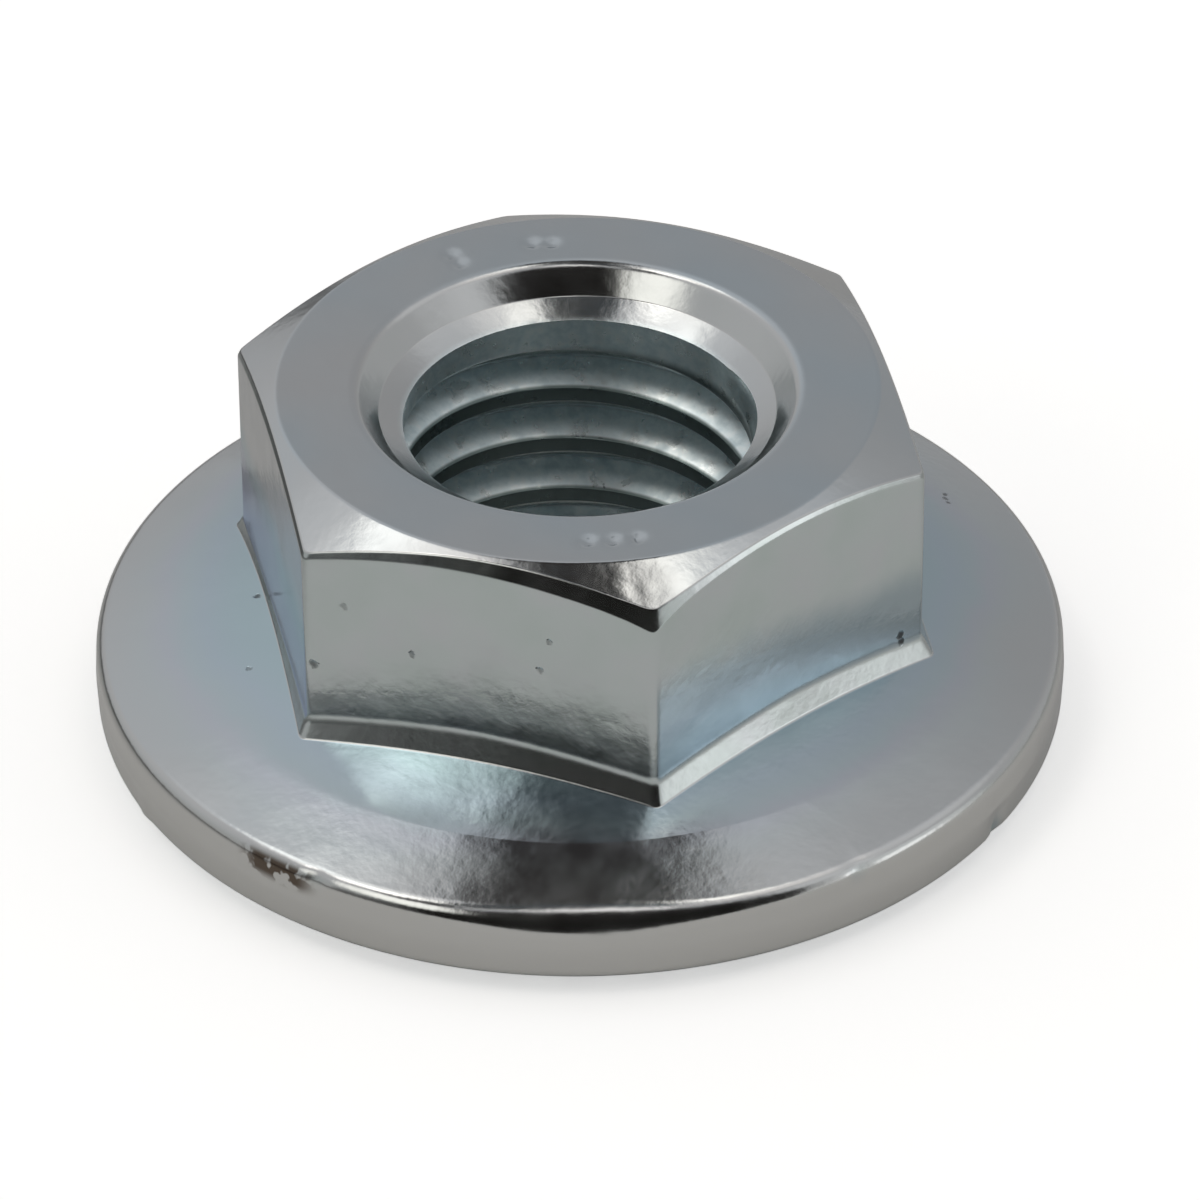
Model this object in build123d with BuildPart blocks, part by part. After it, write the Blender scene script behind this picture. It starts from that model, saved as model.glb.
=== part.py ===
from build123d import *
from math import radians, sqrt, tan
import os

# A hexagon nut forged in one piece with a wide conical flange. A ring of ratchet teeth under the
# flange bites into the clamped part when the nut is turned to loosen it.
# The origin is on the axis, in the plane of the tooth tips, and +Z points to the wrench end.
# A corner of the hexagon lies on +X. Lengths are in millimetres, angles in degrees.

# thread: metric coarse, right-handed; the bore is left plain at its minor diameter
thread_diameter = 10.0
thread_pitch = 1.5

# hexagon
across_flats = 15.0
nut_height = 9.2
corner_radius = 0.25
top_circle_diameter = 14.4
top_chamfer_angle = 28.0
top_edge_radius = 0.24

# flange: an inner and an outer cone that meet in a crease, and a slightly bulging rim
rim_diameter = 23.56
rim_lower_height = 0.45
rim_corner_height = 2.15
rim_bulge = 0.04
rim_upper_radius = 0.45
rim_lower_chamfer = 0.2
outer_cone_angle = 21.3
crease_diameter = 19.5
inner_cone_angle = 17.0

# flared skirt round the foot of the hexagon
skirt_width = 0.3
skirt_height = 0.6

# mouths of the bore; each cone's angle is the angle between its opposite sides
mouth_diameter = 10.6
mouth_cone_angle = 80.0
entry_diameter = 9.5
entry_cone_angle = 120.0
lower_mouth_diameter = 10.6
lower_mouth_cone_angle = 120.0

# ratchet teeth: sawtooth gaps in a flat ring; land and steep side are shares of one tooth
tooth_count = 36
tooth_depth = 0.4
teeth_inner_diameter = 12.4
tooth_ring_diameter = 21.6
tooth_ring_bevel = 45.0
land_share = 0.1
steep_share = 0.1

thread_triangle_height = sqrt(3) / 2 * thread_pitch
bore_diameter = thread_diameter - 2 * 5 / 8 * thread_triangle_height
crease_height = rim_corner_height + (rim_diameter - crease_diameter) / 2 * tan(radians(outer_cone_angle))
cone_tip_height = crease_height + crease_diameter / 2 * tan(radians(inner_cone_angle))
rim_middle_height = (rim_lower_height + rim_corner_height) / 2
rim_side_radius = rim_diameter / 2 - rim_bulge
tooth_ring_radius = tooth_ring_diameter / 2
bevel_radius = tooth_ring_radius + rim_lower_height / tan(radians(tooth_ring_bevel))


def cone_depth(outer_diameter, inner_diameter, cone_angle):
    """Depth of a countersink that narrows from one diameter to another."""
    return (outer_diameter - inner_diameter) / 2 / tan(radians(cone_angle / 2))


# The hexagon, with rounded upright edges and the turned chamfer round its top face.
with BuildPart() as hexagon:
    with BuildSketch(Plane.XY.offset(rim_corner_height)):
        RegularPolygon(across_flats / 2, side_count=6, major_radius=False)
    extrude(amount=nut_height - rim_corner_height)
    fillet(hexagon.edges().filter_by(Axis.Z), corner_radius)

    chamfer_drop = (rim_diameter - top_circle_diameter) / 2 * tan(radians(top_chamfer_angle))
    with BuildSketch(Plane.XZ):
        with BuildLine():
            Polyline(
                (0, 0),
                (rim_diameter / 2, 0),
                (rim_diameter / 2, nut_height - chamfer_drop),
                (top_circle_diameter / 2, nut_height),
                (0, nut_height),
                close=True,
            )
        make_face()
    revolve(axis=Axis.Z, mode=Mode.INTERSECT)

    chamfer_edges = hexagon.faces().filter_by(GeomType.CONE).edges()
    top_circle = chamfer_edges.group_by(Axis.Z)[-1]
    fillet(chamfer_edges - top_circle, top_edge_radius)


# The flange, turned from one half section.
with BuildPart() as flange:
    with BuildSketch(Plane.XZ):
        with BuildLine():
            Polyline(
                (rim_side_radius, rim_corner_height),
                (crease_diameter / 2, crease_height),
                (0, cone_tip_height),
                (0, 0),
                (tooth_ring_radius, 0),
                (bevel_radius, rim_lower_height),
                (rim_side_radius, rim_lower_height),
            )
            ThreePointArc(
                (rim_side_radius, rim_lower_height),
                (rim_diameter / 2, rim_middle_height),
                (rim_side_radius, rim_corner_height),
            )
        make_face()
        chamfer(vertices().sort_by_distance((rim_side_radius, rim_lower_height))[0], rim_lower_chamfer)
        fillet(vertices().sort_by_distance((rim_side_radius, rim_corner_height))[0], rim_upper_radius)
    revolve(axis=Axis.Z)


# The gap between two teeth: a wedge between the tips, cut off from above by a steep and a gentle
# plane that meet in the root. All its edges aim at the origin, so it grows outwards. Seen from
# above, the steep side faces anticlockwise, the way the nut turns when it is loosened.
with BuildPart() as tooth_gap:
    tooth_angle = 360 / tooth_count
    gap_half_width = tan(radians(tooth_angle * (1 - land_share) / 2))
    root_offset = tan(radians(tooth_angle * steep_share)) - gap_half_width
    with BuildSketch():
        with BuildLine():
            Polyline(
                (teeth_inner_diameter / 2, -gap_half_width * teeth_inner_diameter / 2),
                (bevel_radius, -gap_half_width * bevel_radius),
                (bevel_radius, gap_half_width * bevel_radius),
                (teeth_inner_diameter / 2, gap_half_width * teeth_inner_diameter / 2),
                close=True,
            )
        make_face()
    extrude(amount=rim_lower_height)

    root = Vector(1, root_offset, tooth_depth / tooth_ring_radius)
    steep_tip = Vector(1, -gap_half_width, 0)
    gentle_tip = Vector(1, gap_half_width, 0)
    split(bisect_by=Plane((0, 0, 0), x_dir=root, z_dir=steep_tip.cross(root)), keep=Keep.BOTTOM)
    split(bisect_by=Plane((0, 0, 0), x_dir=root, z_dir=root.cross(gentle_tip)), keep=Keep.BOTTOM)


# The finished nut: hexagon and flange as one body, then the skirt, the bore and the teeth.
with BuildPart() as nut:
    add(flange.part)
    add(hexagon.part)

    cones = nut.faces().filter_by(GeomType.CONE)
    inner_cone = cones.filter_by_position(Axis.Z, crease_height, cone_tip_height)[0]
    crease = inner_cone.edges().group_by(Axis.Z)[0]
    foot = inner_cone.edges().filter_by(GeomType.LINE, reverse=True) - crease
    chamfer(foot, length=skirt_width, length2=skirt_height, reference=inner_cone)

    entry_height = nut_height - cone_depth(mouth_diameter, entry_diameter, mouth_cone_angle)
    thread_start = entry_height - cone_depth(entry_diameter, bore_diameter, entry_cone_angle)
    thread_end = cone_depth(lower_mouth_diameter, bore_diameter, lower_mouth_cone_angle)
    with BuildSketch(Plane.XZ):
        with BuildLine():
            Polyline(
                (0, nut_height),
                (mouth_diameter / 2, nut_height),
                (entry_diameter / 2, entry_height),
                (bore_diameter / 2, thread_start),
                (bore_diameter / 2, thread_end),
                (lower_mouth_diameter / 2, 0),
                (0, 0),
                close=True,
            )
        make_face()
    revolve(axis=Axis.Z, mode=Mode.SUBTRACT)

    with PolarLocations(0, tooth_count):
        add(tooth_gap.part, mode=Mode.SUBTRACT)


os.makedirs("parts", exist_ok=True)
nut.part.label = "serrated_flange_nut"
export_step(nut.part, "parts/serrated_flange_nut.step")
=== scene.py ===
import math

import bmesh
import bpy
from mathutils import Matrix, Vector, noise


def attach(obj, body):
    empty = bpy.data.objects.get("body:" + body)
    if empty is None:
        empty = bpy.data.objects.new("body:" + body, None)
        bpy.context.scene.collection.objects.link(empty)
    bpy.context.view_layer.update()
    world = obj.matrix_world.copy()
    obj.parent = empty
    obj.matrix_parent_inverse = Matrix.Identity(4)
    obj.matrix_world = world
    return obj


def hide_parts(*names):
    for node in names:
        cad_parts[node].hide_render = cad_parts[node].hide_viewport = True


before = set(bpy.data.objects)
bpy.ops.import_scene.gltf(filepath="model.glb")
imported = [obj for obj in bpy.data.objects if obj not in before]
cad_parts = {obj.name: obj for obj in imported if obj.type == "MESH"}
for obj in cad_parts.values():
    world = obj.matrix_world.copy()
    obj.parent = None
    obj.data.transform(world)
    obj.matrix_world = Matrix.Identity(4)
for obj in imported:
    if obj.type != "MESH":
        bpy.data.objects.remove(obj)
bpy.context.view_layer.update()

# ---------------------------------------------------------------------------------------------
# The forged nut: one piece of carbon steel, upset cold in a die that leaves the hexagon, the
# flange and the teeth under it. One half section is spun into a blank, and each column of the
# blank then takes the section that the nut has in that direction. Worked in millimetres.
# ---------------------------------------------------------------------------------------------
metre = 0.001

across_flats = 15.0
nut_height = 9.2
corner_radius = 0.25
top_circle_radius = 7.2
top_chamfer = math.radians(28.0)

rim_radius = 11.775
rim_bulge = 0.04
rim_lower_height = 0.45
rim_corner_height = 2.15
outer_cone = math.radians(21.3)
crease_radius = 9.75
inner_cone = math.radians(17.0)
crease_height = rim_corner_height + (rim_radius - crease_radius) * math.tan(outer_cone)

skirt_width = 0.25
skirt_height = 0.54
skirt_corner_drop = 0.2
thin_skirt_place = math.radians(-157.0)
thin_skirt_width = math.radians(28.0)
thin_skirt_loss = 0.7

minor_radius = 4.188
plain_bore_radius = minor_radius - 0.3
mouth_radius = 5.3
entry_radius = 4.75
mouth_slope = math.tan(math.radians(40.0))
entry_height = nut_height - (mouth_radius - entry_radius) / mouth_slope
entry_slope = math.tan(math.radians(30.0))

tooth_count = 36
tooth_depth = 0.4
tooth_land = 0.1
tooth_steep = 0.1
teeth_inner_radius = 6.2
tooth_ring_radius = 10.8

# Wear round the front: a low facet under the chamfer, a rounder rim and a crisper crease. Each
# patch of the facet is (place in degrees, width in degrees, added height).
front = math.radians(-71.6)
worn_slope = math.radians(25.0)
worn_height = 0.14
worn_patches = [(-75.0, 25.0, 0.24), (-60.0, 8.0, 0.2)]
rim_rounding_new = 0.45
rim_rounding_worn = 0.5
worn_rim_width = math.radians(12.0)
crease_rounding_soft = 14.0
crease_rounding_lost = 13.85
crisp_crease_width = math.radians(55.0)

columns = 360
half_side = math.pi / 6
corner_crowding = 1.6
nip = 0.03


def hexagon_radius(from_corner, flat, rounding):
    """Distance from the axis to the hexagon's side, at this angle from its nearest corner."""
    centre = (flat - rounding) / math.cos(half_side)
    if from_corner > math.atan2(rounding / 2, centre + rounding * math.cos(half_side)):
        return flat / math.cos(half_side - from_corner)
    aside = centre * math.sin(from_corner)
    return centre * math.cos(from_corner) + math.sqrt(rounding**2 - aside**2)


def tooth_rise(angle):
    """Rise of the underside per millimetre from the axis: a steep side, a gentle one, the tip."""
    share = (math.degrees(angle) * tooth_count / 360 + (1 - tooth_land) / 2) % 1
    rise = tooth_depth / tooth_ring_radius
    if share < tooth_steep:
        return rise * share / tooth_steep
    return rise * max(0.0, 1 - tooth_land - share) / (1 - tooth_land - tooth_steep)


def rounded(corners):
    """Points on the line through corners (radius, height, rounding, steps, spans, crowding).

    Each corner is turned by an arc in steps, and the run after it is divided into spans, with a
    short nip at each end. Each point comes with its crowding: 1 follows the hexagon's corners."""
    runs = []
    for index, (radius, height, rounding, steps, spans, crowding) in enumerate(corners):
        corner = Vector((radius, height))
        arc = [corner]
        if rounding:
            back = (Vector(corners[index - 1][:2]) - corner).normalized()
            ahead = (Vector(corners[index + 1][:2]) - corner).normalized()
            half_angle = back.angle(ahead) / 2
            centre = corner + (back + ahead).normalized() * rounding / math.sin(half_angle)
            start = corner + back * rounding / math.tan(half_angle) - centre
            end = corner + ahead * rounding / math.tan(half_angle) - centre
            swing = math.atan2(start.cross(end), start.dot(end))
            arc = [
                centre + Matrix.Rotation(swing * step / steps, 2) @ start
                for step in range(steps + 1)
            ]
        runs.append((arc, spans, crowding))
    line = []
    for (arc, spans, crowding), (next_arc, _, next_crowding) in zip(runs, runs[1:]):
        line += [(point, crowding) for point in arc]
        length = (next_arc[0] - arc[-1]).length
        for step in range(1, spans):
            edge = min(nip / length, 1 / spans)
            share = {1: edge, spans - 1: 1 - edge}.get(step, step / spans)
            point = arc[-1].lerp(next_arc[0], share)
            line.append((point, crowding + (next_crowding - crowding) * share))
    return line + [(point, runs[-1][2]) for point in runs[-1][0]]


def near(angle, middle, width, power=2):
    """Falls from 1 at the middle of a patch round the nut to 0 beyond its width."""
    away = abs((angle - middle + math.pi) % (2 * math.pi) - math.pi)
    return math.exp(-((away / width) ** power))


def section(angle):
    """The nut's closed half section at this angle: up the bore, out, down and back under.

    It comes with the turn that crowds the hexagon's columns towards its corners."""
    from_corner = (angle + half_side) % (2 * half_side) - half_side
    crowded = half_side * abs(from_corner / half_side) ** corner_crowding
    cornered = 1 - crowded / half_side
    side = hexagon_radius(crowded, across_flats / 2, corner_radius)
    worn = sum(
        (
            added * near(angle, math.radians(middle), math.radians(width))
            for middle, width, added in worn_patches
        ),
        worn_height,
    )
    chamfer_foot = side - worn * math.tan(worn_slope)
    chamfer_height = nut_height - (chamfer_foot - top_circle_radius) * math.tan(top_chamfer)

    skirt = 1 - thin_skirt_loss * near(angle, thin_skirt_place, thin_skirt_width)
    skirt_foot = hexagon_radius(crowded, across_flats / 2 + skirt_width * skirt, corner_radius)
    foot_height = crease_height + (crease_radius - skirt_foot) * math.tan(inner_cone)
    skirt_top = crease_height + (crease_radius - side) * math.tan(inner_cone)
    skirt_top += skirt_height * skirt * (1 - skirt_corner_drop * cornered)

    rim_side = rim_radius - rim_bulge
    rim_middle = (rim_corner_height + rim_lower_height) / 2
    rim_rounding = rim_rounding_new + rim_rounding_worn * near(angle, front, worn_rim_width)
    crease_rounding = crease_rounding_soft - crease_rounding_lost * near(
        angle, front, crisp_crease_width, 4
    )

    lower_end = (mouth_radius - plain_bore_radius) * entry_slope
    entry_end = entry_height - (entry_radius - plain_bore_radius) * entry_slope
    rise = tooth_rise(angle)
    bevel_foot = tooth_ring_radius / (1 - rise)
    corners = [
        (plain_bore_radius, lower_end, 0, 0, 1, 0),
        (plain_bore_radius, entry_end, 0, 0, 1, 0),
        (entry_radius, entry_height, 0.12, 3, 3, 0),
        (mouth_radius, nut_height, 0.35, 5, 16, 0),
        (top_circle_radius, nut_height, 0.2, 3, 8, 0),
        (chamfer_foot, chamfer_height, 0.08, 2, 4, 1),
        (side, chamfer_height - worn, 0.15, 3, 9, 1),
        (side, skirt_top, 0.55 * skirt, 5, 3, 1),
        (skirt_foot, foot_height, 0.05, 2, 8, 1),
        (crease_radius, crease_height, crease_rounding, 6, 8, 0),
        (rim_side, rim_corner_height, rim_rounding, 10, 3, 0),
        (rim_radius, rim_middle, 0, 0, 3, 0),
        (rim_side, rim_lower_height, 0.2, 4, 1, 0),
        (bevel_foot + (rim_lower_height - rise * bevel_foot), rim_lower_height, 0, 0, 1, 0),
        (bevel_foot, rise * bevel_foot, 0, 0, 1, 0),
        (teeth_inner_radius, rise * teeth_inner_radius, 0, 0, 1, 0),
        (teeth_inner_radius, 0.0, 0, 0, 1, 0),
        (mouth_radius, 0.0, 0.1, 2, 1, 0),
        (plain_bore_radius, lower_end, 0, 0, 1, 0),
    ]
    return rounded(corners)[:-1], math.copysign(crowded, from_corner) - from_corner


blank = bmesh.new()
row = blank.verts.layers.int.new("row")
first_column = math.radians(0.5)
first_section, _ = section(first_column)
half = [blank.verts.new((point.x, 0, point.y)) for point, _ in first_section]
for index, vert in enumerate(half):
    vert[row] = index
    blank.edges.new((vert, half[index - 1]))
bmesh.ops.spin(
    blank,
    geom=blank.verts[:] + blank.edges[:],
    cent=(0, 0, 0),
    axis=(0, 0, 1),
    angle=2 * math.pi,
    steps=columns,
    use_merge=True,
)
sections = [section(first_column + 2 * math.pi * column / columns) for column in range(columns)]
for vert in blank.verts:
    column = round(math.atan2(vert.co.y, vert.co.x) * columns / (2 * math.pi)) % columns
    line, shift = sections[column]
    point, crowding = line[vert[row]]
    angle = first_column + 2 * math.pi * column / columns + shift * crowding
    vert.co = (point.x * math.cos(angle), point.x * math.sin(angle), point.y)

# Knocks from the tumbling barrel: a battered tip over the front corner, and dents and a burr on
# the rim as (place in degrees, height, how far out). The top carries plain punch dimples, pressed
# in while the metal was soft.
battered_tip = Vector((3.72, -6.82, 8.85))
battered_width = 1.0
battered_relief = 0.008
battered_grain = 2.6
battered_sink = 0.005
rim_knocks = [
    (-14.4, 0.75, -0.12),
    (-134.2, 0.65, 0.05),
    (-38.0, 2.0, -0.05),
    (-104.0, 2.0, -0.05),
]
rim_knock_width = math.radians(1.1)
rim_knock_height = 0.35
rim_knock_depth = 0.6
punch_radius = 0.3
punch_depth = 0.09
top_skin = 0.001
punches = [
    (-4.65, 4.4),
    (-4.35, 4.1),
    (-2.95, 5.45),
    (-2.5, 5.6),
    (2.2, -5.95),
    (2.75, -5.75),
    (3.25, -5.5),
]
for vert in blank.verts:
    hit = math.exp(-(((vert.co - battered_tip).length / battered_width) ** 2))
    rumple = noise.noise(vert.co * battered_grain)
    vert.co.z += battered_relief * hit * rumple - battered_sink * hit
    radius = vert.co.xy.length
    if radius > rim_radius - rim_knock_depth:
        angle = math.atan2(vert.co.y, vert.co.x)
        for knock_place, knock_height, knock in rim_knocks:
            felt = near(angle, math.radians(knock_place), rim_knock_width)
            felt *= math.exp(-(((vert.co.z - knock_height) / rim_knock_height) ** 2))
            vert.co.xy *= 1 + knock * felt / radius
    if vert.co.z > nut_height - top_skin:
        for punch in punches:
            away = (vert.co.xy - Vector(punch)).length
            if away < punch_radius:
                vert.co.z -= punch_depth * (1 - (away / punch_radius) ** 2) ** 2
bmesh.ops.remove_doubles(blank, verts=blank.verts, dist=1e-5)
bmesh.ops.recalc_face_normals(blank, faces=blank.faces)

# The thread, cut with a tap: right-handed, with flat crests and a rounded root. The tap is one
# turn of its profile swept up the axis, and what it holds is taken out of the blank.
thread_pitch = 1.5
thread_lift = -0.62
runout_length = 0.36
runout_clearance = 0.2
major_radius = 5.0
tap_steps = 120
tap_overrun = 0.3
flank_height = (major_radius - minor_radius) * math.tan(math.pi / 6)
crest_height = thread_pitch / 4
root_height = thread_pitch / 8
thread_start = thread_lift - thread_pitch
root_start = thread_start + crest_height + flank_height

tap = bmesh.new()
laid_height = tap.verts.layers.float.new("laid_height")
tap_line = rounded(
    [
        (minor_radius, thread_start, 0, 0, 1, 0),
        (minor_radius, thread_start + crest_height, 0.05, 2, 4, 0),
        (major_radius, root_start, 0.08, 2, 1, 0),
        (major_radius, root_start + root_height, 0.08, 2, 4, 0),
        (minor_radius, thread_lift, 0.05, 2, 3, 0),
        (minor_radius, thread_lift + crest_height, 0, 0, 1, 0),
    ]
)
tap_turn = [tap.verts.new((point.x, 0, point.y)) for point, _ in tap_line[1:-1]]
tap_turn.append(tap.verts.new((tap_turn[0].co.x, 0, tap_turn[0].co.z + thread_pitch)))
for lower, upper in zip(tap_turn, tap_turn[1:]):
    tap.edges.new((lower, upper))
for vert in tap_turn:
    vert[laid_height] = vert.co.z
turns = math.ceil(nut_height / thread_pitch) + 2
bmesh.ops.spin(
    tap,
    geom=tap.verts[:] + tap.edges[:],
    cent=(0, 0, 0),
    dvec=(0, 0, thread_pitch / tap_steps),
    axis=(0, 0, 1),
    angle=2 * math.pi * turns,
    steps=tap_steps * turns,
)
bmesh.ops.remove_doubles(tap, verts=tap.verts, dist=1e-4)
runout_end = entry_height - (entry_radius - minor_radius) * entry_slope - runout_clearance
groove = root_start + root_height / 2
for vert in tap.verts:
    left_to_cut = runout_end - groove - vert.co.z + vert[laid_height]
    depth = min(1.0, max(0.0, left_to_cut / runout_length))
    radius = vert.co.xy.length
    vert.co.xy *= (minor_radius + (radius - minor_radius) * depth) / radius
for cut_height, beyond in ((-tap_overrun, -1), (nut_height + tap_overrun, 1)):
    cut = bmesh.ops.bisect_plane(
        tap,
        geom=tap.verts[:] + tap.edges[:] + tap.faces[:],
        plane_co=(0, 0, cut_height),
        plane_no=(0, 0, beyond),
        clear_outer=True,
    )
    rim_edges = [edge for edge in cut["geom_cut"] if isinstance(edge, bmesh.types.BMEdge)]
    bmesh.ops.contextual_create(tap, geom=rim_edges)
bmesh.ops.recalc_face_normals(tap, faces=tap.faces)

tap_mesh = bpy.data.meshes.new("tap")
tap.to_mesh(tap_mesh)
tap_object = bpy.data.objects.new("tap", tap_mesh)
bpy.context.collection.objects.link(tap_object)
nut_mesh = bpy.data.meshes.new("forged_nut")
blank.to_mesh(nut_mesh)
nut = bpy.data.objects.new("forged_nut", nut_mesh)
bpy.context.collection.objects.link(nut)

tapping = nut.modifiers.new("tapping", "BOOLEAN")
tapping.operation = "DIFFERENCE"
tapping.solver = "EXACT"
tapping.object = tap_object
bpy.context.view_layer.update()
tapped_mesh = bpy.data.meshes.new_from_object(
    nut.evaluated_get(bpy.context.evaluated_depsgraph_get())
)
nut.modifiers.clear()
bpy.data.objects.remove(tap_object)

finished = bmesh.new()
finished.from_mesh(tapped_mesh)
bmesh.ops.remove_doubles(finished, verts=finished.verts, dist=1e-4)
bmesh.ops.recalc_face_normals(finished, faces=finished.faces)
bmesh.ops.scale(finished, vec=(metre, metre, metre), verts=finished.verts)
finished.to_mesh(nut_mesh)
nut_mesh.shade_smooth()
nut_mesh.set_sharp_from_angle(angle=math.radians(30))
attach(nut, "root")
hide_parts("serrated_flange_nut")

# Zinc plating, clear passivated: bright bluish metal under a film that colours it, with the
# forging's mottle showing through. Masks are read off the height, the reach and the slope.
plating = bpy.data.materials.new("zinc_plated_steel")
plating.use_nodes = True
metal = plating.node_tree
shader = metal.nodes["Principled BSDF"]
shader.inputs["Metallic"].default_value = 1.0
coordinates = metal.nodes.new("ShaderNodeTexCoord")
position = coordinates.outputs["Object"]
normal = coordinates.outputs["Normal"]


def cloud(scale, detail, roughness=0.5):
    """A noise pattern in the metal, scale in waves per metre."""
    node = metal.nodes.new("ShaderNodeTexNoise")
    node.inputs["Scale"].default_value = scale
    node.inputs["Detail"].default_value = detail
    node.inputs["Roughness"].default_value = roughness
    metal.links.new(position, node.inputs["Vector"])
    return node.outputs["Fac"]


def measured(operation, vector, other):
    """A length read off a vector of the surface, against a fixed one."""
    node = metal.nodes.new("ShaderNodeVectorMath")
    node.operation = operation
    metal.links.new(vector, node.inputs[0])
    node.inputs[1].default_value = other
    return node.outputs["Value"]


def facing(degrees):
    """How squarely the surface faces this way round the nut: 1 is straight at it."""
    return measured(
        "DOT_PRODUCT", normal, (math.cos(math.radians(degrees)), math.sin(math.radians(degrees)), 0)
    )


def computed(operation, first, second):
    """Two masks put together, or a mask and a number."""
    node = metal.nodes.new("ShaderNodeMath")
    node.operation = operation
    metal.links.new(first, node.inputs[0])
    if isinstance(second, float):
        node.inputs[1].default_value = second
    else:
        metal.links.new(second, node.inputs[1])
    return node.outputs[0]


def rising(value, low, high):
    """A mask that goes smoothly from 0 at low to 1 at high, and falls where low is the larger."""
    node = metal.nodes.new("ShaderNodeMapRange")
    node.interpolation_type = "SMOOTHSTEP"
    node.inputs["From Min"].default_value = low
    node.inputs["From Max"].default_value = high
    metal.links.new(value, node.inputs["Value"])
    return node.outputs["Result"]


def graded(mask, stops):
    """Colours along a mask, given as (share, colour)."""
    node = metal.nodes.new("ShaderNodeValToRGB")
    ramp = node.color_ramp
    while len(ramp.elements) < len(stops):
        ramp.elements.new(0.5)
    for element, (share, colour) in zip(ramp.elements, stops):
        element.position = share
        element.color = (*colour, 1)
    metal.links.new(mask, node.inputs["Fac"])
    return node.outputs["Color"]


def grey_graded(mask, stops):
    """Plain levels along a mask, given as (share, level)."""
    return graded(mask, [(share, (shade, shade, shade)) for share, shade in stops])


def painted(under, over, mask):
    """One colour over another where the mask is 1, each a fixed colour or another node's."""
    node = metal.nodes.new("ShaderNodeMix")
    node.data_type = "RGBA"
    metal.links.new(mask, node.inputs[0])
    for socket, colour in ((node.inputs[6], under), (node.inputs[7], over)):
        if isinstance(colour, tuple):
            socket.default_value = (*colour, 1)
        else:
            metal.links.new(colour, socket)
    return node.outputs[2]


height_mm = computed("MULTIPLY", measured("DOT_PRODUCT", position, (0, 0, 1)), 1000.0)
flattened = metal.nodes.new("ShaderNodeVectorMath")
flattened.operation = "MULTIPLY"
flattened.inputs[1].default_value = (1000, 1000, 0)
metal.links.new(position, flattened.inputs[0])
reach_mm = measured("DISTANCE", flattened.outputs["Vector"], (0, 0, 0))
upward = measured("DOT_PRODUCT", normal, (0, 0, 1))
broad = cloud(160, 2.0)
blotch = cloud(520, 3.0, 0.6)
fine_mottle = cloud(2200, 3.0, 0.6)
wandering = computed("ADD", computed("MULTIPLY", broad, 1.9), computed("MULTIPLY", blotch, 0.7))

level_up = rising(upward, 0.8, 0.97)
on_flange = computed("MULTIPLY", level_up, rising(height_mm, 4.6, 4.2))
on_rim = computed("MULTIPLY", rising(reach_mm, 11.62, 11.75), rising(height_mm, 2.35, 2.1))
on_skirt = computed("MULTIPLY", rising(upward, 0.12, 0.25), rising(upward, 0.85, 0.7))
on_skirt = computed("MULTIPLY", on_skirt, rising(height_mm, 4.6, 4.4))
on_skirt = computed("MULTIPLY", on_skirt, rising(reach_mm, 9.4, 9.2))
in_bore = computed("MULTIPLY", rising(reach_mm, 5.02, 4.9), rising(height_mm, 8.3, 8.15))
on_crest = computed("MULTIPLY", rising(reach_mm, 4.3, 4.22), rising(height_mm, 7.5, 7.2))

# The film is a few tenths of a micrometre thick, so its hue drifts in rings round the flange. It
# is thickest on the face that drained last. The foot of the next face but one carries painted
# shade.
flange_tint = graded(
    rising(computed("ADD", reach_mm, wandering), 9.0, 13.2),
    [
        (0.0, (0.46, 0.58, 0.635)),
        (0.2, (0.485, 0.575, 0.65)),
        (0.38, (0.50, 0.585, 0.635)),
        (0.55, (0.535, 0.575, 0.635)),
        (0.75, (0.545, 0.59, 0.615)),
        (1.0, (0.565, 0.585, 0.60)),
    ],
)
top_tint = graded(
    broad,
    [(0.32, (0.505, 0.575, 0.63)), (0.5, (0.55, 0.585, 0.615)), (0.68, (0.575, 0.585, 0.60))],
)
face_tint = graded(
    blotch,
    [(0.3, (0.515, 0.575, 0.56)), (0.5, (0.54, 0.59, 0.585)), (0.7, (0.555, 0.585, 0.595))],
)
drained_tint = graded(
    rising(computed("ADD", height_mm, wandering), 5.0, 9.4),
    [
        (0.0, (0.43, 0.45, 0.60)),
        (0.25, (0.46, 0.50, 0.62)),
        (0.55, (0.42, 0.53, 0.57)),
        (0.8, (0.56, 0.575, 0.58)),
    ],
)
# The bore's colour is partly a mottle and partly painted light: it is lighter than the zinc
# elsewhere.
bore_mottle_and_painted_light = graded(
    fine_mottle,
    [(0.35, (0.68, 0.79, 0.83)), (0.5, (0.81, 0.91, 0.94)), (0.65, (0.90, 0.96, 0.97))],
)
# Painted shade: a darker blue for the foot of the face turned -30 degrees round the nut.
painted_foot_shade_tint = (0.36, 0.425, 0.455)
chamfer_tint = (0.575, 0.585, 0.59)
rim_tint = (0.575, 0.575, 0.56)
# Painted shade for the thread's crests, which are coloured nearly black.
crest_painted_shade = (0.16, 0.20, 0.20)
pit_tint = (0.07, 0.07, 0.07)
stain_tint = (0.12, 0.095, 0.075)

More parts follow.
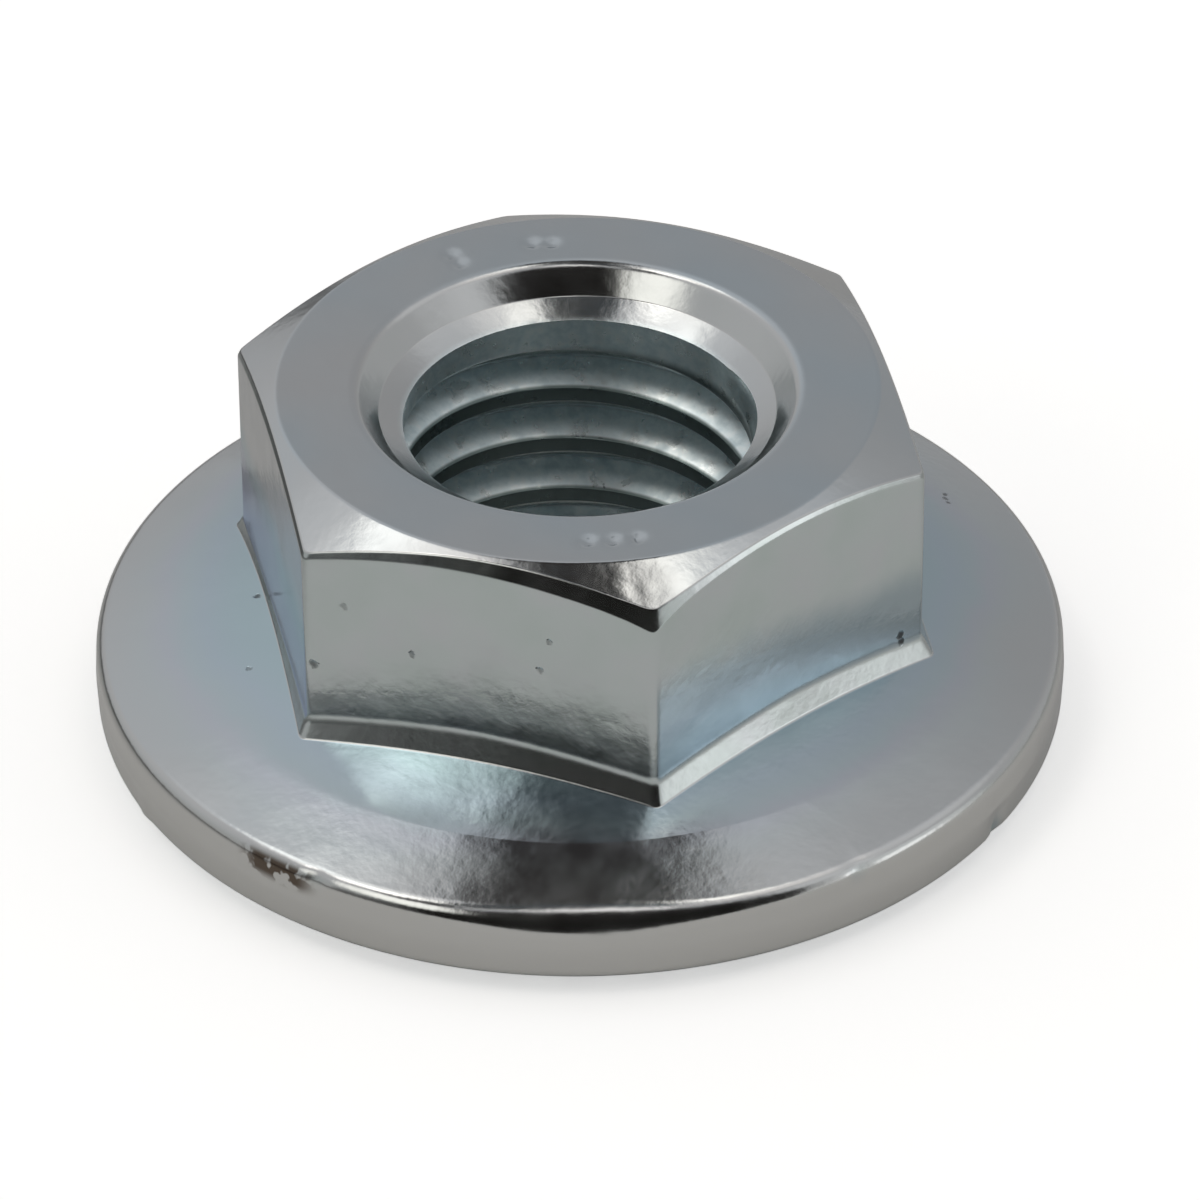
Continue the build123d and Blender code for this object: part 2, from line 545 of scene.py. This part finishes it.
# Painted shade low on the face turned -30 degrees round the nut, with a wandering, tilted edge.
tilted_height = computed(
    "ADD", height_mm, computed("MULTIPLY", measured("DOT_PRODUCT", position, (0, 1, 0)), 167.0)
)
painted_foot_shade_edge = rising(computed("ADD", tilted_height, wandering), 7.3, 6.2)
painted_foot_shade = computed("MULTIPLY", painted_foot_shade_edge, rising(facing(-30), 0.93, 0.99))
tint = painted(face_tint, drained_tint, rising(facing(-150), 0.93, 0.99))
tint = painted(tint, painted_foot_shade_tint, painted_foot_shade)
tint = painted(tint, chamfer_tint, rising(upward, 0.3, 0.8))
tint = painted(tint, top_tint, level_up)
tint = painted(tint, flange_tint, on_flange)
tint = painted(tint, rim_tint, on_rim)
# Painted light in the bore and the thread: a mottled tint lighter than the zinc.
tint = painted(tint, bore_mottle_and_painted_light, in_bore)
# Painted shade: the thread's crests are coloured nearly black, like the dark bore wall they mirror.
tint = painted(tint, crest_painted_shade, on_crest)

# Pits and specks, as (x, y, height, radius, strength) in millimetres, with ragged edges, and a
# brown stain on the rim.
ragged_shift = 0.1
marks = [
    (8.3, -0.63, 4.1, 0.11, 0.9),
    (8.31, -0.63, 3.9, 0.11, 0.9),
    (-4.11, -7.5, 5.3, 0.13, 0.6),
    (-7.19, -3.06, 3.53, 0.11, 0.7),
    (-1.65, -7.5, 6.13, 0.1, 0.35),
    (1.72, -7.5, 7.25, 0.09, 0.35),
    (1.51, -7.5, 6.37, 0.09, 0.35),
    (-3.32, -7.5, 7.18, 0.12, 0.3),
    (7.2, 6.95, 2.84, 0.09, 0.6),
    (7.28, 6.75, 2.85, 0.09, 0.6),
    (7.4, 6.58, 2.83, 0.08, 0.6),
    (-6.5, -5.6, 3.3, 0.08, 0.4),
]
ragged = metal.nodes.new("ShaderNodeVectorMath")
ragged.operation = "MULTIPLY_ADD"
ragged.inputs[1].default_value = (2 * ragged_shift * metre,) * 3
jitter = metal.nodes.new("ShaderNodeTexNoise")
jitter.inputs["Scale"].default_value = 5200
metal.links.new(position, jitter.inputs["Vector"])
metal.links.new(jitter.outputs["Color"], ragged.inputs[0])
metal.links.new(position, ragged.inputs[2])


def pit(x, y, z, size, strength):
    """A mask over one pit or speck, a little ragged."""
    middle = [(value + ragged_shift) * metre for value in (x, y, z)]
    away = measured("DISTANCE", ragged.outputs["Vector"], middle)
    return computed("MULTIPLY", rising(away, size * 1.2 * metre, size * 0.4 * metre), strength)


pits = pit(*marks[0])
for mark in marks[1:]:
    pits = computed("MAXIMUM", pits, pit(*mark))
tint = painted(tint, pit_tint, pits)

stain_middle = (-0.0039, -0.0111, 0.0019)
stain = rising(measured("DISTANCE", position, stain_middle), 0.0013, 0.0006)
stain_band = computed("MULTIPLY", rising(height_mm, 1.45, 1.75), rising(height_mm, 2.2, 2.05))
stain = computed("MULTIPLY", stain, stain_band)
stain = computed("MULTIPLY", stain, rising(cloud(2400, 2.0), 0.46, 0.54))
tint = painted(tint, stain_tint, stain)
metal.links.new(tint, shader.inputs["Base Color"])

# The finish: smoothest on the turned and struck faces, duller on the skirt and in the bore. Its
# relief is a fine grain over a broader ripple and the slow waves of the forging.
smear = grey_graded(cloud(900, 3.0), [(0.3, 0.13), (0.7, 0.22)])
smear = painted(smear, (0.22, 0.22, 0.22), on_skirt)
smear = painted(smear, grey_graded(fine_mottle, [(0.35, 0.42), (0.65, 0.26)]), in_bore)
smear = painted(smear, (0.6, 0.6, 0.6), pits)
metal.links.new(smear, shader.inputs["Roughness"])

grain_depth = computed("ADD", computed("MULTIPLY", on_skirt, 0.1), 0.38)
relief = computed("MULTIPLY", cloud(4500, 2.0, 0.6), grain_depth)
relief = computed("ADD", relief, cloud(1500, 2.0))
relief = computed("ADD", relief, computed("MULTIPLY", cloud(400, 1.0), 2.4))
relief = computed("SUBTRACT", relief, computed("MULTIPLY", pits, 4.0))
bump = metal.nodes.new("ShaderNodeBump")
bump.inputs["Distance"].default_value = 0.000008
metal.links.new(relief, bump.inputs["Height"])
metal.links.new(bump.outputs["Normal"], shader.inputs["Normal"])
nut_mesh.materials.append(plating)

# ---------------------------------------------------------------------------------------------
# The floor: a wide pale sheet under the nut. Straight on it glows an even white; mirrored in the
# metal it is a darker grey copy, with painted shade that dims it to the left and back.
# ---------------------------------------------------------------------------------------------
floor_size = 3.0
sheet = bmesh.new()
bmesh.ops.create_grid(sheet, x_segments=1, y_segments=1, size=floor_size / 2)
floor_mesh = bpy.data.meshes.new("floor")
sheet.to_mesh(floor_mesh)
floor = bpy.data.objects.new("floor", floor_mesh)
bpy.context.collection.objects.link(floor)

white_sheet = bpy.data.materials.new("white_sheet")
white_sheet.use_nodes = True
paper = white_sheet.node_tree
seen = paper.nodes["Principled BSDF"]
seen.inputs["Base Color"].default_value = (0.95, 0.95, 0.95, 1)
seen.inputs["Roughness"].default_value = 0.9
seen.inputs["Specular IOR Level"].default_value = 0.0
seen.inputs["Emission Color"].default_value = (1, 1, 1, 1)
seen.inputs["Emission Strength"].default_value = 0.5
mirrored = paper.nodes.new("ShaderNodeBsdfDiffuse")
floor_position = paper.nodes.new("ShaderNodeTexCoord").outputs["Object"]


def painted_floor_shade(turned, start, end, low):
    """Painted shade on the mirrored floor: a level from low to 1 between two distances along a
    direction.
    """
    along = paper.nodes.new("ShaderNodeVectorMath")
    along.operation = "DOT_PRODUCT"
    along.inputs[1].default_value = (
        math.cos(math.radians(turned)),
        math.sin(math.radians(turned)),
        0,
    )
    paper.links.new(floor_position, along.inputs[0])
    lit = paper.nodes.new("ShaderNodeMapRange")
    lit.interpolation_type = "SMOOTHSTEP"
    lit.inputs["From Min"].default_value = start
    lit.inputs["From Max"].default_value = end
    lit.inputs["To Min"].default_value = low
    paper.links.new(along.outputs["Value"], lit.inputs["Value"])
    return lit.outputs["Result"]


# Painted shade: the floor that the metal mirrors darkens to the left and to the back.
painted_floor_dimming = paper.nodes.new("ShaderNodeMath")
painted_floor_dimming.operation = "MULTIPLY"
paper.links.new(painted_floor_shade(18.4, -0.028, -0.012, 0.3), painted_floor_dimming.inputs[0])
paper.links.new(painted_floor_shade(-71.6, -0.012, 0.008, 0.65), painted_floor_dimming.inputs[1])
paper.links.new(painted_floor_dimming.outputs[0], mirrored.inputs["Color"])
path = paper.nodes.new("ShaderNodeLightPath")
either = paper.nodes.new("ShaderNodeMixShader")
paper.links.new(path.outputs["Is Camera Ray"], either.inputs["Fac"])
paper.links.new(mirrored.outputs["BSDF"], either.inputs[1])
paper.links.new(seen.outputs["BSDF"], either.inputs[2])
paper.links.new(either.outputs["Shader"], paper.nodes["Material Output"].inputs["Surface"])
floor_mesh.materials.append(white_sheet)

# ---------------------------------------------------------------------------------------------
# The light: a soft tent round the table, hung with round panels, pale to the left, the right and
# over the back, and dark on the camera's side. Each is (turned from the camera to its right,
# raised, reach and softness in degrees, colour), and a later one hangs over the earlier ones.
# ---------------------------------------------------------------------------------------------
camera_side = math.radians(-71.58)
tent_light = (0.495, 0.495, 0.495, 1)
panels = [
    (-124, 49, 25.5, 30, (0.61, 0.61, 0.61)),
    (162, 26, 19.5, 19.5, (0.4, 0.4, 0.4)),
    (4, 66, 7, 3, (1.5, 1.45, 1.4)),
    (-120, 51, 7, 7, (0.73, 0.73, 0.73)),
    (-100, 64, 9, 7.5, (1.28, 1.23, 1.18)),
    (82, 66.5, 11.5, 6.5, (1.04, 1, 0.96)),
    (101, 46, 11, 11, (0.7, 0.7, 0.7)),
    (-75, 63.5, 7.5, 4, (2.5, 2.4, 2.25)),
    (-35, -3, 22, 6, (0.11, 0.11, 0.11)),
    (70, 6, 26, 3, (0.75, 0.75, 0.75)),
    (74, 8, 8, 4, (1.5, 1.5, 1.5)),
    (6, 18.5, 43, 4, (0.012, 0.011, 0.01)),
    (-45, 37, 12, 7, (1.65, 1.6, 1.5)),
    (64, 42, 9, 7.5, (0.73, 0.73, 0.73)),
    (-138, 88.9, 9.8, 1.2, (0.03, 0.028, 0.026)),
    (180, 81, 11, 2, (0.025, 0.022, 0.02)),
    (25, 82, 7, 2, (0.13, 0.15, 0.155)),
    (-28, 75.5, 9.5, 2.8, (0.04, 0.047, 0.052)),
    (-47, 57, 7, 3, (0.06, 0.06, 0.06)),
    (60, 87, 6.3, 1.2, (0.03, 0.028, 0.026)),
    (91, 76, 5.3, 2, (2, 1.9, 1.75)),
    (-112, 59, 4.5, 3, (1.9, 1.85, 1.75)),
    (122, 69.5, 6, 2.3, (0.64, 0.64, 0.64)),
]

tent = bpy.data.worlds.new("tent")
bpy.context.scene.world = tent
tent.use_nodes = True
sky = tent.node_tree
aim = sky.nodes.new("ShaderNodeTexCoord").outputs["Generated"]


def panel(turned, raised, reach, soft, colour):
    """A round panel that fades out at its edge, before it is hung over what is behind it."""
    around = camera_side + math.radians(turned)
    level_part = math.cos(math.radians(raised))
    toward = sky.nodes.new("ShaderNodeVectorMath")
    toward.operation = "DOT_PRODUCT"
    toward.inputs[1].default_value = (
        level_part * math.cos(around),
        level_part * math.sin(around),
        math.sin(math.radians(raised)),
    )
    sky.links.new(aim, toward.inputs[0])
    fade = sky.nodes.new("ShaderNodeMapRange")
    fade.interpolation_type = "SMOOTHSTEP"
    fade.inputs["From Min"].default_value = math.cos(math.radians(reach + soft))
    fade.inputs["From Max"].default_value = math.cos(math.radians(reach - soft))
    sky.links.new(toward.outputs["Value"], fade.inputs["Value"])
    hung = sky.nodes.new("ShaderNodeMix")
    hung.data_type = "RGBA"
    hung.inputs[7].default_value = (*colour, 1)
    sky.links.new(fade.outputs["Result"], hung.inputs[0])
    return hung


hung_panels = [panel(*values) for values in panels]
hung_panels[0].inputs[6].default_value = tent_light
for behind, before in zip(hung_panels, hung_panels[1:]):
    sky.links.new(behind.outputs[2], before.inputs[6])
sky.links.new(hung_panels[-1].outputs[2], sky.nodes["Background"].inputs["Color"])

bpy.context.scene.view_settings.view_transform = "Standard"

# ---------------------------------------------------------------------------------------------
# The camera: a long lens on a stand, that looks down on the nut and leans a little. Distances
# are in millimetres, and its view is 1200 dots wide.
# ---------------------------------------------------------------------------------------------
camera_height = math.radians(36.637)
camera_distance = 220.2
camera_lift = 0.45
camera_yaw = math.radians(0.1305)
camera_pitch = math.radians(0.506)
camera_roll = math.radians(-0.547)
focal_dots = 9021
view_dots = 1200
sensor_width = 36.0

to_camera = Vector(
    (
        math.cos(camera_height) * math.cos(camera_side),
        math.cos(camera_height) * math.sin(camera_side),
        math.sin(camera_height),
    )
)
looking = -to_camera
rightward = Vector((-math.sin(camera_side), math.cos(camera_side), 0))
camera_up = rightward.cross(looking)
looking = (looking + camera_yaw * rightward + camera_pitch * camera_up).normalized()
rightward = looking.cross(camera_up).normalized()
camera_up = rightward.cross(looking)
leaning = math.cos(camera_roll) * rightward + math.sin(camera_roll) * camera_up
upright = leaning.cross(looking)
camera_place = (to_camera * camera_distance + Vector((0, 0, camera_lift))) * metre

camera_data = bpy.data.cameras.new("camera")
camera_data.sensor_width = sensor_width
camera_data.lens = focal_dots / view_dots * sensor_width
camera_data.clip_end = 10.0
camera = bpy.data.objects.new("camera", camera_data)
bpy.context.collection.objects.link(camera)
camera_turn = Matrix((leaning, upright, -looking)).transposed().to_4x4()
camera.matrix_world = Matrix.Translation(camera_place) @ camera_turn
bpy.context.scene.camera = camera
